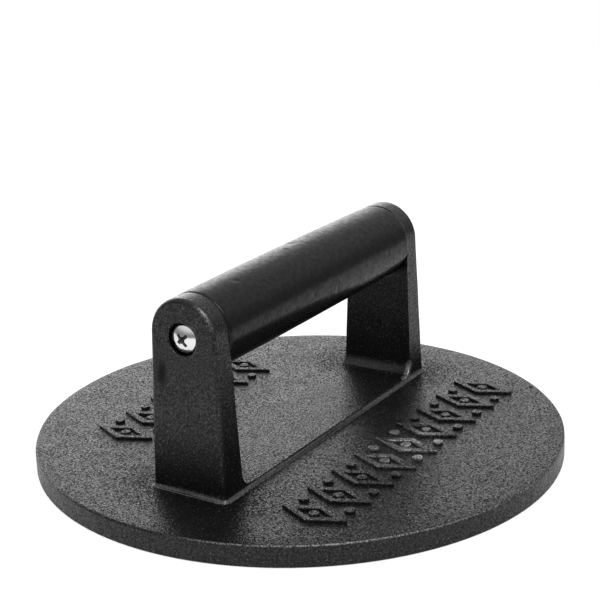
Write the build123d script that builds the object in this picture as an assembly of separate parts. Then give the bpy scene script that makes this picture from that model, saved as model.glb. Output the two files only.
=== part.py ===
from build123d import *

import math
import os

# Round burger press: a flat cast iron plate whose two uprights carry a turning grip.
# Millimetres. The underside of the plate is on Z 0, its centre is the origin, and the grip runs along X.

# Plate: the diameter is taken at the underside, and the rim leans in by its mould draft.
plate_diameter = 180.0
plate_thickness = 7.4
rim_draft_deg = 0.7
rim_top_radius = 0.7
rim_bottom_radius = 0.5

# Raised strip that joins the feet of the two uprights, as wide as they are.
strip_height = 1.5
foot_width = 27.5
strip_edge_radius = 0.2
strip_root_radius = 1.25

# Grip, and the room for fingers between it and the strip.
grip_diameter = 25.7
grip_length = 111.5
grip_bore = 19.0
grip_end_radius = 0.35
grip_end_chamfer = 0.4
finger_gap = 36.45
grip_end_clearance = 0.22

# Uprights: the thickness is taken at the height of the grip's axis.
upright_thickness = 7.7
upright_top_radius = 12.0
outer_face_draft_deg = 1.0
inner_face_draft_deg = 1.7
inner_foot_radius = 4.5
outer_edge_radius = 1.3

# Pads: round flats milled on the inner faces, square to the axis. The grip's ends run close to them
# and the core rod is clamped between them.
pad_depth_on_axis = 0.2
pad_margin = 0.5

# Screws: M5 pan heads with a cross recess, each sunk in a counterbore.
screw_diameter = 5.0
screw_length = 12.0
screw_tip_chamfer = 0.6
head_diameter = 9.5
head_height = 3.7
head_crown_radius = 8.0
head_edge_radius = 1.0
head_stands_out = 0.35
head_side_clearance = 0.5
counterbore_edge_chamfer = 0.25
shank_clearance = 0.25
recess_span = 5.6
recess_arm_width = 1.1
recess_core_width = 2.3
recess_depth = 2.3
recess_floor_span = 1.8
recess_floor_arm_width = 0.9
recess_floor_core_width = 1.1
left_screw_turn_deg = 40.0
right_screw_turn_deg = 18.0

# Steel core rod, clamped between the uprights by the screws, with a tapped hole in each end.
rod_diameter = 10.0
rod_end_chamfer = 0.4
tapped_run_out = 4.0
thread_clearance = 0.05

# Bushes: glued into the ends of the grip, and turning on the core rod.
bush_length = 14.0
bush_inset = 0.5
bush_glue_gap = 0.02
bush_running_clearance = 0.08
bush_edge_chamfer = 0.4

# Raised ornament on both sides of the strip: rows of open lozenges with a round pip in each,
# and a pair of pips in each gap between two lozenges.
relief_height = 0.9
relief_edge_radius = 0.25
lozenge_width = 10.8
lozenge_length = 23.0
lozenge_stroke = 2.1
pip_diameter = 3.4
pip_pair_spacing = 16.4
lozenge_pitch = 14.4
front_row_y = -41.5
front_row_rim_margin = 7.5
back_row_y = 47.5
back_row_rim_margin = 17.6

# Working values: how closely positions are compared, how far a cutting tool overshoots, and the
# least straight length left between two fillets.
same_place = 0.01
overshoot = 1.0
fillet_spare = 0.05

# Worked out from the sizes above.
plate_radius = plate_diameter / 2
plate_top_radius = plate_radius - plate_thickness * math.tan(math.radians(rim_draft_deg))
strip_top = plate_thickness + strip_height
bridge_root = plate_thickness / 2
grip_radius = grip_diameter / 2
grip_axis_height = strip_top + finger_gap + grip_radius
upright_top_height = grip_axis_height + grip_radius
upright_top_centre = upright_top_height - upright_top_radius
inner_lean = math.tan(math.radians(inner_face_draft_deg))
outer_lean = math.tan(math.radians(outer_face_draft_deg))
pad_x = grip_length / 2 + grip_end_clearance
pad_radius = grip_radius + pad_margin
inner_face_x = pad_x - pad_depth_on_axis
outer_face_x = inner_face_x + upright_thickness
head_top_x = outer_face_x + head_stands_out
head_seat_x = head_top_x - head_height
counterbore_radius = head_diameter / 2 + head_side_clearance
shank_radius = screw_diameter / 2
tapped_depth = screw_length - (head_seat_x - pad_x) + tapped_run_out


def inner_x(height):
    """X of the right upright's inner face at a height: the face leans away from the grip."""
    return inner_face_x + (height - grip_axis_height) * inner_lean


def outer_x(height):
    """X of the right upright's outer face at a height: the face leans towards the grip."""
    return outer_face_x - (height - grip_axis_height) * outer_lean


def along_x(x=0.0):
    """A plane square to the grip's axis, with its origin on the axis at x."""
    return Plane(origin=(x, 0, grip_axis_height), x_dir=(0, 1, 0), z_dir=(1, 0, 0))


def rod_along_x(radius, start_x, end_x):
    """A round bar on the grip's axis between two X positions."""
    return extrude(along_x(start_x) * Circle(radius), amount=end_x - start_x)


def make_plate():
    """The round plate, with its drafted rim and two rounded rim edges."""
    plate = extrude(Circle(plate_radius), amount=plate_thickness, taper=rim_draft_deg)
    rim_edges = plate.edges().filter_by(GeomType.CIRCLE).sort_by(Axis.Z)
    plate = fillet(rim_edges[0], rim_bottom_radius)
    rim_edges = plate.edges().filter_by(GeomType.CIRCLE).sort_by(Axis.Z)
    return fillet(rim_edges[-1], rim_top_radius)


def front_profile():
    """The strip and both uprights seen along Y: a wide U, with its inner corners rounded."""
    corners = [
        (-outer_x(bridge_root), bridge_root),
        (-outer_x(upright_top_height), upright_top_height),
        (-inner_x(upright_top_height), upright_top_height),
        (-inner_x(strip_top), strip_top),
        (inner_x(strip_top), strip_top),
        (inner_x(upright_top_height), upright_top_height),
        (outer_x(upright_top_height), upright_top_height),
        (outer_x(bridge_root), bridge_root),
    ]
    outline = make_face(Polyline(*corners, close=True))
    feet = [v for v in outline.vertices() if abs(v.Y - strip_top) < same_place]
    return Plane.XZ * fillet(feet, inner_foot_radius)


def end_profile():
    """An upright seen along X: two leaning sides that run into a round top."""
    foot_half = foot_width / 2
    rise = upright_top_centre - strip_top
    lean = math.acos(upright_top_radius / math.hypot(foot_half, rise)) - math.atan2(rise, foot_half)
    tangent_y = upright_top_radius * math.cos(lean)
    tangent_z = upright_top_centre + upright_top_radius * math.sin(lean)
    root_half = foot_half + (strip_top - bridge_root) * math.tan(lean)
    left_side = Line((-root_half, bridge_root), (-tangent_y, tangent_z))
    top = ThreePointArc((-tangent_y, tangent_z), (0, upright_top_height), (tangent_y, tangent_z))
    right_side = Line((tangent_y, tangent_z), (root_half, bridge_root))
    base = Line((root_half, bridge_root), (-root_half, bridge_root))
    return Plane.YZ * make_face([left_side, top, right_side, base])


def make_bridge():
    """The strip and the uprights as one body, with rounded edges, reaching down into the plate."""
    across = extrude(front_profile(), amount=foot_width, both=True)
    along = extrude(end_profile(), amount=plate_radius, both=True)
    bridge = across & along
    faces = bridge.faces().sort_by(Axis.X)
    outer_edges = []
    for face in (faces[0], faces[-1]):
        outer_edges += [edge for edge in face.edges() if edge.center().Z > bridge_root + same_place]
    bridge = fillet(outer_edges, outer_edge_radius)

    def is_channel(face):
        """True for the strip's top, the inner faces and the rounded corners between them."""
        normal = face.normal_at(face.center())
        inside = abs(face.center().X) < inner_x(upright_top_height)
        above = face.center().Z > strip_top - same_place
        return inside and above and abs(normal.Y) < same_place

    channel_edges = []
    for face in bridge.faces():
        if not is_channel(face):
            continue
        for edge in face.edges():
            straight_across = edge.geom_type == GeomType.LINE and abs(edge.center().Y) < same_place
            if not straight_across:
                channel_edges.append(edge)
    return fillet(channel_edges, strip_edge_radius)


def raised(shape):
    """A raised piece of the ornament, standing on Z 0, with its top edges rounded."""
    solid = extrude(shape, amount=relief_height)
    top = solid.faces().sort_by(Axis.Z)[-1]
    return fillet(top.edges(), relief_edge_radius)


def lozenge(width, length):
    """A lozenge on the XY plane, with its long axis along Y."""
    corners = [(-width / 2, 0), (0, -length / 2), (width / 2, 0), (0, length / 2)]
    return make_face(Polyline(*corners, close=True))


def ornament_places(row_y, rim_margin):
    """X positions of the lozenges in one row: as many as fit inside the rim margin."""
    reach = plate_top_radius - rim_margin
    far_edge = abs(row_y) + lozenge_length / 2
    half_row = math.sqrt(max(reach**2 - far_edge**2, 0.0))
    count = int((2 * half_row + lozenge_pitch - lozenge_width) // lozenge_pitch)
    first = -(count - 1) / 2 * lozenge_pitch
    return [first + i * lozenge_pitch for i in range(count)]


def make_ornament():
    """Every raised piece of the two rows, standing on the plate's top face."""
    side = math.hypot(lozenge_width, lozenge_length)
    hole_width = lozenge_width - 2 * lozenge_stroke * side / lozenge_length
    hole_length = lozenge_length - 2 * lozenge_stroke * side / lozenge_width
    ring = raised(lozenge(lozenge_width, lozenge_length) - lozenge(hole_width, hole_length))
    pip = raised(Circle(pip_diameter / 2))
    pieces = []
    for row_y, rim_margin in ((front_row_y, front_row_rim_margin), (back_row_y, back_row_rim_margin)):
        places = ornament_places(row_y, rim_margin)
        for x in places:
            pieces.append(Pos(x, row_y, plate_thickness) * ring)
            pieces.append(Pos(x, row_y, plate_thickness) * pip)
        for x in places[:-1]:
            for side_y in (-pip_pair_spacing / 2, pip_pair_spacing / 2):
                pieces.append(Pos(x + lozenge_pitch / 2, row_y + side_y, plate_thickness) * pip)
    return pieces


def make_casting():
    """Plate, strip, uprights and ornament: one piece of cast iron with its holes drilled."""
    casting = make_plate() + make_bridge()

    def is_root(edge):
        """True for the edges where the strip and the uprights rise from the plate."""
        centre = edge.center()
        level = abs(centre.Z - plate_thickness) < same_place
        return level and abs(centre.Y) < foot_width and abs(centre.X) < outer_x(0) + overshoot

    root_radius = min(strip_root_radius, strip_height - strip_edge_radius - fillet_spare)
    casting = fillet([edge for edge in casting.edges() if is_root(edge)], root_radius)
    for side in (-1, 1):
        casting -= rod_along_x(pad_radius, side * (pad_x - overshoot), side * pad_x)
        casting -= rod_along_x(shank_radius + shank_clearance, side * grip_length / 2, side * outer_face_x)
        casting -= rod_along_x(counterbore_radius, side * head_seat_x, side * (outer_face_x + overshoot))
    mouths = []
    for edge in casting.edges().filter_by(GeomType.ELLIPSE):
        on_axis = abs(edge.center().Z - grip_axis_height) < shank_radius
        if on_axis and abs(edge.center().X) > head_seat_x + same_place:
            mouths.append(edge)
    casting = chamfer(mouths, counterbore_edge_chamfer)
    return casting + make_ornament()


def make_grip_sleeve():
    """The moulded tube that the hand closes round."""
    half = grip_length / 2
    body = rod_along_x(grip_radius, -half, half)
    rims = body.edges().filter_by(GeomType.CIRCLE)
    body = fillet(rims, grip_end_radius) - rod_along_x(grip_bore / 2, -half, half)
    circles = body.edges().filter_by(GeomType.CIRCLE)
    mouths = [edge for edge in circles if abs(edge.radius - grip_bore / 2) < same_place]
    return chamfer(mouths, grip_end_chamfer)


def make_bush(side):
    """A plain bush, glued in one end of the grip, a little below its end face."""
    outer_end = side * (grip_length / 2 - bush_inset)
    inner_end = outer_end - side * bush_length
    bush = rod_along_x(grip_bore / 2 - bush_glue_gap, outer_end, inner_end)
    bush = chamfer(bush.edges().filter_by(GeomType.CIRCLE), bush_edge_chamfer)
    return bush - rod_along_x(rod_diameter / 2 + bush_running_clearance, outer_end, inner_end)


def make_core_rod():
    """The steel rod inside the grip, tapped at both ends."""
    rod = rod_along_x(rod_diameter / 2, -pad_x, pad_x)
    rod = chamfer(rod.edges().filter_by(GeomType.CIRCLE), rod_end_chamfer)
    for side in (-1, 1):
        hole_end = side * (pad_x - tapped_depth)
        rod -= rod_along_x(shank_radius + thread_clearance, hole_end, side * pad_x)
    return rod


def make_recess():
    """The cross recess as a tool: two crossed arms and a square core that narrow with depth."""
    mouth = Rectangle(recess_span, recess_arm_width)
    floor = Pos(0, 0, -recess_depth) * Rectangle(recess_floor_span, recess_floor_arm_width)
    arm = loft([Plane.XY * mouth, floor])
    core_mouth = Rot(0, 0, 45) * Rectangle(recess_core_width, recess_core_width)
    core_floor = Rot(0, 0, 45) * Rectangle(recess_floor_core_width, recess_floor_core_width)
    core = loft([Plane.XY * core_mouth, Pos(0, 0, -recess_depth) * core_floor])
    return arm + Rot(0, 0, 90) * arm + core


def make_screw(side, turn_deg):
    """One pan head screw, with the crown of its head just proud of the upright's outer face."""
    head_radius = head_diameter / 2
    crown_centre = head_height - head_crown_radius
    crown_reach = head_crown_radius - head_edge_radius
    crown_angle = math.asin((head_radius - head_edge_radius) / crown_reach)
    side_height = crown_centre + crown_reach * math.cos(crown_angle)
    crown_end_height = crown_centre + head_crown_radius * math.cos(crown_angle)
    crown_end = (head_crown_radius * math.sin(crown_angle), crown_end_height)
    tip_radius = shank_radius - screw_tip_chamfer
    tip_top = screw_tip_chamfer - screw_length
    outline = [
        Polyline((0, head_height), (0, -screw_length), (tip_radius, -screw_length)),
        Polyline((tip_radius, -screw_length), (shank_radius, tip_top), (shank_radius, 0)),
        Polyline((shank_radius, 0), (head_radius, 0), (head_radius, side_height)),
        RadiusArc((head_radius, side_height), crown_end, -head_edge_radius),
        RadiusArc(crown_end, (0, head_height), -head_crown_radius),
    ]
    screw = revolve(Plane.XZ * make_face(outline), Axis.Z)
    screw -= Pos(0, 0, head_height) * Rot(0, 0, turn_deg) * make_recess()
    seat = Plane(origin=(side * head_seat_x, 0, grip_axis_height), x_dir=(0, side, 0), z_dir=(side, 0, 0))
    return seat * screw


parts = {
    "press_casting": make_casting(),
    "grip_sleeve": make_grip_sleeve(),
    "left_bush": make_bush(-1),
    "right_bush": make_bush(1),
    "core_rod": make_core_rod(),
    "left_screw": make_screw(-1, left_screw_turn_deg),
    "right_screw": make_screw(1, right_screw_turn_deg),
}

os.makedirs("parts", exist_ok=True)
for name, part in parts.items():
    export_step(part, f"parts/{name}.step")
    size = part.bounding_box().size
    print(name, "volume", round(part.volume, 1), "size", [round(v, 2) for v in (size.X, size.Y, size.Z)])
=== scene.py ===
# %% [markdown]
# # A burger press of black cast iron
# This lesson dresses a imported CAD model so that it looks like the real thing. The press has a round
# iron plate, two uprights cast in one piece with it, and a black grip that turns on a steel rod.
# The model arrives in metres, with Z up and the underside of the plate on Z 0. Everything that is
# made here sits in that same frame, so nothing has to be fitted by eye.

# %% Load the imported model
import math

import bmesh
import bpy
import numpy as np
from mathutils import Matrix, Vector, geometry, kdtree


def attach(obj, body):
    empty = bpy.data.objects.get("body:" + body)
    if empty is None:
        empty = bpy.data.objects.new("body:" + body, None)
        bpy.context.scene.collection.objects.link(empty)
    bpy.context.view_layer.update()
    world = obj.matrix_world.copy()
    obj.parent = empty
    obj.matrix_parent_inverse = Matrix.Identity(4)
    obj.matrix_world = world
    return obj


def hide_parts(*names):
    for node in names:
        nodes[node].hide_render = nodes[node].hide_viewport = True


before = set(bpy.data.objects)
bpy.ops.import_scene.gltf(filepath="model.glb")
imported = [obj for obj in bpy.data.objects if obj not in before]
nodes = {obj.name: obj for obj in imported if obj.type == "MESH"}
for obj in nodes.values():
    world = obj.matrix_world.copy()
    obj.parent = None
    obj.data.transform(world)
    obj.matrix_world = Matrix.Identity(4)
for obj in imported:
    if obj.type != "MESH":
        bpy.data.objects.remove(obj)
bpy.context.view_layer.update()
MM = 0.001
print("nodes:", {name: len(node.data.polygons) for name, node in nodes.items()})

# %% [markdown]
# ## Three small helpers
# Colours are written as the hex values that a screen shows, and shaders want linear light, so one
# function does that step. Node trees are built in code, and one function adds a node together with
# its settings and its inputs, so that each material below reads as a list of what it is made of.

# %% Helpers for colour and nodes
def paint(hex_code):
    """A screen colour such as #1c1c1c as linear light with full opacity."""
    shown = [int(hex_code[i:i + 2], 16) / 255 for i in (1, 3, 5)]
    return [c / 12.92 if c <= 0.04045 else ((c + 0.055) / 1.055) ** 2.4 for c in shown] + [1.0]


def add(tree, kind, settings=None, **inputs):
    """Adds one node. Its inputs are values or the sockets that feed them; _ in a name is a space."""
    node = tree.nodes.new(kind)
    for name, value in (settings or {}).items():
        setattr(node, name, value)
    for name, value in inputs.items():
        key = int(name[2:]) if name.startswith("in") and name[2:].isdigit() else name.replace("_", " ")
        socket = node.inputs[key]
        if isinstance(value, bpy.types.NodeSocket):
            tree.links.new(value, socket)
        else:
            socket.default_value = value
    return node


def new_material(name):
    """An empty node material, with its tree."""
    material = bpy.data.materials.new(name)
    material.use_nodes = True
    material.node_tree.nodes.clear()
    return material, material.node_tree


print("helpers ready")

# %% [markdown]
# ## The camera
# The press was photographed from a little above and from its left front corner, with a long lens
# that keeps the plate's oval calm. Lens, place and tilt were worked out from the outline of the
# plate and the straight edges of the uprights, and they are given as a direction and a distance.

# %% Camera
PICTURE_WIDTH_PX = 600
FOCAL_LENGTH_PX = 1521.16
SENSOR_MM = 36.0
CAMERA_PLACE_MM = Vector((-405.49, -263.27, 212.82))
VIEW_AZIMUTH = math.radians(-57.178)
VIEW_ELEVATION = math.radians(18.404)
VIEW_ROLL = math.radians(-1.840)

back = Vector((
    math.sin(VIEW_AZIMUTH) * math.cos(VIEW_ELEVATION),
    -math.cos(VIEW_AZIMUTH) * math.cos(VIEW_ELEVATION),
    math.sin(VIEW_ELEVATION),
))
level_right = Vector((math.cos(VIEW_AZIMUTH), math.sin(VIEW_AZIMUTH), 0.0))
level_up = back.cross(level_right)
right = math.cos(VIEW_ROLL) * level_right + math.sin(VIEW_ROLL) * level_up
up = math.cos(VIEW_ROLL) * level_up - math.sin(VIEW_ROLL) * level_right

camera = bpy.data.objects.new("camera", bpy.data.cameras.new("camera"))
camera.data.sensor_width = SENSOR_MM
camera.data.lens = FOCAL_LENGTH_PX / PICTURE_WIDTH_PX * SENSOR_MM
camera.data.clip_start = 0.01
camera.data.clip_end = 50.0
turn = Matrix((right, up, back)).transposed().to_4x4()
camera.matrix_world = Matrix.Translation(CAMERA_PLACE_MM * MM) @ turn
bpy.context.scene.collection.objects.link(camera)
bpy.context.scene.camera = camera
bpy.context.scene.view_settings.view_transform = "Standard"
print("lens", round(camera.data.lens, 2), "mm, distance", round(CAMERA_PLACE_MM.length), "mm")

# %% [markdown]
# ## The studio: a bright backdrop and darker sides
# A black object shows no colour of its own, only what it mirrors. In the photograph the plate
# mirrors a bright backdrop behind the press, the sides of the room are dimmer, and one large soft
# lamp hangs above the camera. The world is made that way: its brightness depends on direction. A
# camera ray that misses everything sees plain white, which is the cut-out look of the picture.

# %% World light: where each part of the studio begins and ends
BACKDROP_AZIMUTH = math.radians(56.0)
BACKDROP_FULL_WIDTH, BACKDROP_GONE_WIDTH = math.radians(10), math.radians(52)
BACKDROP_FULL_HEIGHT, BACKDROP_GONE_HEIGHT = math.radians(17), math.radians(34)
BACKDROP_LIGHT = 2.85
RIGHT_SIDE_AZIMUTH = math.radians(-50.0)
RIGHT_SIDE_LIGHT = 0.28
LEFT_SIDE_LIGHT = 0.25
SIDES_MEET = 0.8
HIGH_WALL_START, HIGH_WALL_FULL = math.radians(4), math.radians(30)
HIGH_WALL_LIGHT = 0.78
CEILING_START, CEILING_FULL = math.radians(40), math.radians(58)
CEILING_LIGHT = 0.95
print("backdrop", BACKDROP_LIGHT, "walls", LEFT_SIDE_LIGHT, RIGHT_SIDE_LIGHT, "ceiling", CEILING_LIGHT)

# %% World light: how far a direction faces the backdrop and the right side
world = bpy.data.worlds.new("studio")
bpy.context.scene.world = world
world.use_nodes = True
tree = world.node_tree
tree.nodes.clear()
direction = add(tree, "ShaderNodeTexCoord").outputs["Generated"]
height = add(tree, "ShaderNodeSeparateXYZ", in0=direction).outputs["Z"]
flat = add(
    tree, "ShaderNodeVectorMath", {"operation": "MULTIPLY"}, in0=direction, in1=(1.0, 1.0, 0.0),
).outputs[0]
flat = add(tree, "ShaderNodeVectorMath", {"operation": "NORMALIZE"}, in0=flat).outputs[0]
backdrop_way = (math.cos(BACKDROP_AZIMUTH), math.sin(BACKDROP_AZIMUTH), 0.0)
right_way = (math.cos(RIGHT_SIDE_AZIMUTH), math.sin(RIGHT_SIDE_AZIMUTH), 0.0)
facing = add(
    tree, "ShaderNodeVectorMath", {"operation": "DOT_PRODUCT"}, in0=flat, in1=backdrop_way,
).outputs["Value"]
sideways = add(
    tree, "ShaderNodeVectorMath", {"operation": "DOT_PRODUCT"}, in0=flat, in1=right_way,
).outputs["Value"]
print("backdrop faces", [round(v, 2) for v in backdrop_way])

# %% World light: the backdrop, the walls and the ceiling
in_width = add(
    tree, "ShaderNodeMapRange", {"interpolation_type": "SMOOTHSTEP"}, Value=facing,
    From_Min=math.cos(BACKDROP_GONE_WIDTH), From_Max=math.cos(BACKDROP_FULL_WIDTH),
)
in_height = add(
    tree, "ShaderNodeMapRange", {"interpolation_type": "SMOOTHSTEP"}, Value=height,
    From_Min=math.sin(BACKDROP_GONE_HEIGHT), From_Max=math.sin(BACKDROP_FULL_HEIGHT),
)
on_backdrop = add(
    tree, "ShaderNodeMath", {"operation": "MULTIPLY"},
    in0=in_width.outputs["Result"], in1=in_height.outputs["Result"],
)
walls = add(
    tree, "ShaderNodeMapRange", {"interpolation_type": "SMOOTHSTEP"}, Value=sideways,
    From_Min=-SIDES_MEET, From_Max=SIDES_MEET, To_Min=LEFT_SIDE_LIGHT, To_Max=RIGHT_SIDE_LIGHT,
)
high_walls = add(
    tree, "ShaderNodeMapRange", {"interpolation_type": "SMOOTHSTEP"}, Value=height,
    From_Min=math.sin(HIGH_WALL_START), From_Max=math.sin(HIGH_WALL_FULL),
    To_Min=walls.outputs["Result"], To_Max=HIGH_WALL_LIGHT,
)
room = add(
    tree, "ShaderNodeMapRange", {"interpolation_type": "SMOOTHSTEP"}, Value=height,
    From_Min=math.sin(CEILING_START), From_Max=math.sin(CEILING_FULL),
    To_Min=high_walls.outputs["Result"], To_Max=CEILING_LIGHT,
)
light = add(
    tree, "ShaderNodeMix", {"data_type": "FLOAT"},
    Factor=on_backdrop.outputs[0], in2=room.outputs["Result"], in3=BACKDROP_LIGHT,
)
print("studio light:", len(tree.nodes), "nodes")

# %% World light: plain white for the camera
studio = add(tree, "ShaderNodeBackground", Color=paint("#ffffff"), Strength=light.outputs[0])
white = add(tree, "ShaderNodeBackground", Color=paint("#ffffff"), Strength=1.0)
path = add(tree, "ShaderNodeLightPath")
seen = add(
    tree, "ShaderNodeMath", {"operation": "ADD", "use_clamp": True},
    in0=path.outputs["Is Camera Ray"], in1=path.outputs["Is Transmission Ray"],
)
picked = add(
    tree, "ShaderNodeMixShader", in0=seen.outputs[0], in1=studio.outputs[0], in2=white.outputs[0],
)
add(tree, "ShaderNodeOutputWorld", Surface=picked.outputs[0])
print("world:", len(tree.nodes), "nodes")

# %% [markdown]
# ## The lamp above the camera
# One broad soft lamp hangs high on the camera's side. What faces the camera picks it up: the screw's
# crown, the bare iron along the rim and the coating that has pooled round the feet. An area lamp is
# the plain way to make it. Its power is worked out from how bright its face looks, since a lamp of
# area A and brightness L gives pi A L watts.

# %% Overhead lamp
LAMP_AZIMUTH = math.radians(-126.0)
LAMP_ELEVATION = math.radians(57.0)
LAMP_DISTANCE = 1.1
LAMP_SIZE = 0.55
LAMP_BRIGHTNESS = 6.0

lamp = bpy.data.objects.new("overhead_lamp", bpy.data.lights.new("overhead_lamp", "AREA"))
lamp.data.shape = "SQUARE"
lamp.data.size = LAMP_SIZE
lamp.data.energy = math.pi * LAMP_SIZE**2 * LAMP_BRIGHTNESS
way = Vector((
    math.cos(LAMP_AZIMUTH) * math.cos(LAMP_ELEVATION),
    math.sin(LAMP_AZIMUTH) * math.cos(LAMP_ELEVATION),
    math.sin(LAMP_ELEVATION),
))
aim = way.to_track_quat("Z", "Y").to_matrix().to_4x4()
lamp.matrix_world = Matrix.Translation(way * LAMP_DISTANCE) @ aim
bpy.context.scene.collection.objects.link(lamp)
print("lamp", round(lamp.data.energy, 2), "W")

# %% [markdown]
# ## The floor
# The press stands on a plain white surface. It is a flat disc a fraction of a millimetre below the
# plate. To the camera it is mostly self-lit, and grey matt paint brings it up to white where the
# light reaches it, so that the press still leaves a faint shadow where it stands. Shiny things see
# a share of that white, and everything else sees ordinary matt paint.

# %% Floor
FLOOR_RADIUS = 0.6
FLOOR_DROP = 0.0002
SELF_LIT_SHARE = 0.78
MIRRORED_SHARE = 0.25

floor_mesh = bpy.data.meshes.new("studio_floor")
shape = bmesh.new()
bmesh.ops.create_circle(shape, cap_ends=True, segments=96, radius=FLOOR_RADIUS)
bmesh.ops.translate(shape, verts=shape.verts, vec=(0.0, 0.0, -FLOOR_DROP))
shape.to_mesh(floor_mesh)
shape.free()
floor = bpy.data.objects.new("studio_floor", floor_mesh)
bpy.context.scene.collection.objects.link(floor)

print("floor", FLOOR_RADIUS, "m in radius")

# %% Floor paint
floor_paint, tree = new_material("matt_white_studio_floor")
matt = add(tree, "ShaderNodeBsdfDiffuse", Color=paint("#e4e4e4"))
glow = add(tree, "ShaderNodeEmission", Color=paint("#ffffff"), Strength=SELF_LIT_SHARE)
grey = add(tree, "ShaderNodeBsdfDiffuse", Color=paint("#a0a0a0"))
both = add(tree, "ShaderNodeAddShader", in0=grey.outputs[0], in1=glow.outputs[0])
path = add(tree, "ShaderNodeLightPath")
seen = add(
    tree, "ShaderNodeMath", {"operation": "ADD", "use_clamp": True},
    in0=path.outputs["Is Camera Ray"], in1=path.outputs["Is Transmission Ray"],
)
seen = add(
    tree, "ShaderNodeMath", {"operation": "MULTIPLY_ADD", "use_clamp": True},
    in0=path.outputs["Is Glossy Ray"], in1=MIRRORED_SHARE, in2=seen.outputs[0],
)
picked = add(
    tree, "ShaderNodeMixShader", in0=seen.outputs[0], in1=matt.outputs[0], in2=both.outputs[0],
)
add(tree, "ShaderNodeOutputMaterial", Surface=picked.outputs[0])
floor.data.materials.append(floor_paint)
print("floor paint:", len(tree.nodes), "nodes")

# %% [markdown]
# ## Finish of the casting
# The plate and the uprights are sand cast iron with a thin black coating, baked on. The sand leaves
# grit all over: its hollows hold soot and hardly shine, the skin between them has a satin sheen, and
# the highest grains poke through as bright specks of iron. Black this deep has hardly any colour,
# so the eye reads only the sheen. Lowering the shine alone would turn the hollows grey, so two
# shaders are mixed, a satin one for the skin and a matt one for soot. One fine noise decides what a
# spot is, hollow, skin or speck. Real grit is half as coarse, but then it wouldn't show in a picture
# of this size, so it is drawn coarser.

# %% Coated iron: grit and bright specks
GRIT_PITCH_MM = 0.6
SPECK_START, SPECK_FULL, SPECK_MOST = 0.64, 0.74, 0.35

coated_iron, tree = new_material("black_coated_sand_cast_iron")
place = add(tree, "ShaderNodeTexCoord").outputs["Object"]
grit = add(
    tree, "ShaderNodeTexNoise", {"noise_dimensions": "3D"},
    Vector=place, Scale=1.0 / (GRIT_PITCH_MM * MM), Detail=2.0, Roughness=0.8,
).outputs[0]
speck = add(
    tree, "ShaderNodeMapRange", {"interpolation_type": "SMOOTHSTEP"}, Value=grit,
    From_Min=SPECK_START, From_Max=SPECK_FULL, To_Max=SPECK_MOST,
).outputs[0]
print("grit", GRIT_PITCH_MM, "mm apart")

# %% [markdown]
# ## Bare edges, a smear, and painted shade round the feet
# The mesh says how much wear each place has, with the painted highlight of the pooled corners added
# in, in an attribute that is written further on. The same noise breaks that up, because the coating
# goes first where the grit is high. A dull smear marks the left upright, so it is placed by its
# centre and reach. Round both feet the hollows grow wider, a painted shade where the uprights darken
# the plate: the noise is lowered before it is read, so that the specks stay as they are.

# %% Coated iron: where rubbing has laid the metal bare, and the corners' painted highlight
RUB_START, RUB_FULL = 0.37, 0.55

# The wear attribute also holds the pooled corners' painted highlight, shown as bare metal.
rub = add(tree, "ShaderNodeAttribute", {"attribute_name": "wear_and_highlight"}).outputs["Fac"]
broken = add(
    tree, "ShaderNodeMapRange", {"interpolation_type": "SMOOTHSTEP"}, Value=grit,
    From_Min=RUB_START, From_Max=RUB_FULL,
).outputs[0]
rub = add(tree, "ShaderNodeMath", {"operation": "MULTIPLY"}, in0=rub, in1=broken).outputs[0]
bare = add(tree, "ShaderNodeMath", {"operation": "MAXIMUM"}, in0=speck, in1=rub).outputs[0]
print("bare iron where the grit is above", RUB_START)

# %% Coated iron: an old smear on the left upright
PATCH_PITCH_MM = 9.0
SMEAR_CENTRE_MM = (-63.4, 8.2, 46.0)
SMEAR_REACH_MM = (3.0, 3.6, 7.5)
SMEAR_EDGE, SMEAR_FULL, SMEAR_MOST = 1.0, 0.2, 0.9

uneven = add(
    tree, "ShaderNodeTexNoise", {"noise_dimensions": "3D"},
    Vector=place, Scale=1.0 / (PATCH_PITCH_MM * MM), Detail=3.0, Roughness=0.6,
).outputs[0]
off = add(
    tree, "ShaderNodeVectorMath", {"operation": "SUBTRACT"},
    in0=place, in1=[v * MM for v in SMEAR_CENTRE_MM],
).outputs[0]
off = add(
    tree, "ShaderNodeVectorMath", {"operation": "DIVIDE"}, in0=off, in1=[v * MM for v in SMEAR_REACH_MM],
).outputs[0]
off = add(tree, "ShaderNodeVectorMath", {"operation": "LENGTH"}, in0=off).outputs["Value"]
ragged = add(tree, "ShaderNodeMath", {"operation": "SUBTRACT"}, in0=uneven, in1=0.5).outputs[0]
off = add(tree, "ShaderNodeMath", {"operation": "ADD"}, in0=off, in1=ragged).outputs[0]
smear = add(
    tree, "ShaderNodeMapRange", {"interpolation_type": "SMOOTHSTEP"}, Value=off,
    From_Min=SMEAR_EDGE, From_Max=SMEAR_FULL, To_Max=SMEAR_MOST,
).outputs[0]
print("smear at", SMEAR_CENTRE_MM)

# %% Coated iron: painted shade round the feet
FOOT_MM = (60.0, 0.0, 7.4)
FOOT_SHADE_REACH_MM = (22.0, 36.0, 26.0)
FOOT_SHADE_EDGE, FOOT_SHADE_FULL, FOOT_SHADE_FILL = 1.1, 0.2, 0.10

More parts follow.
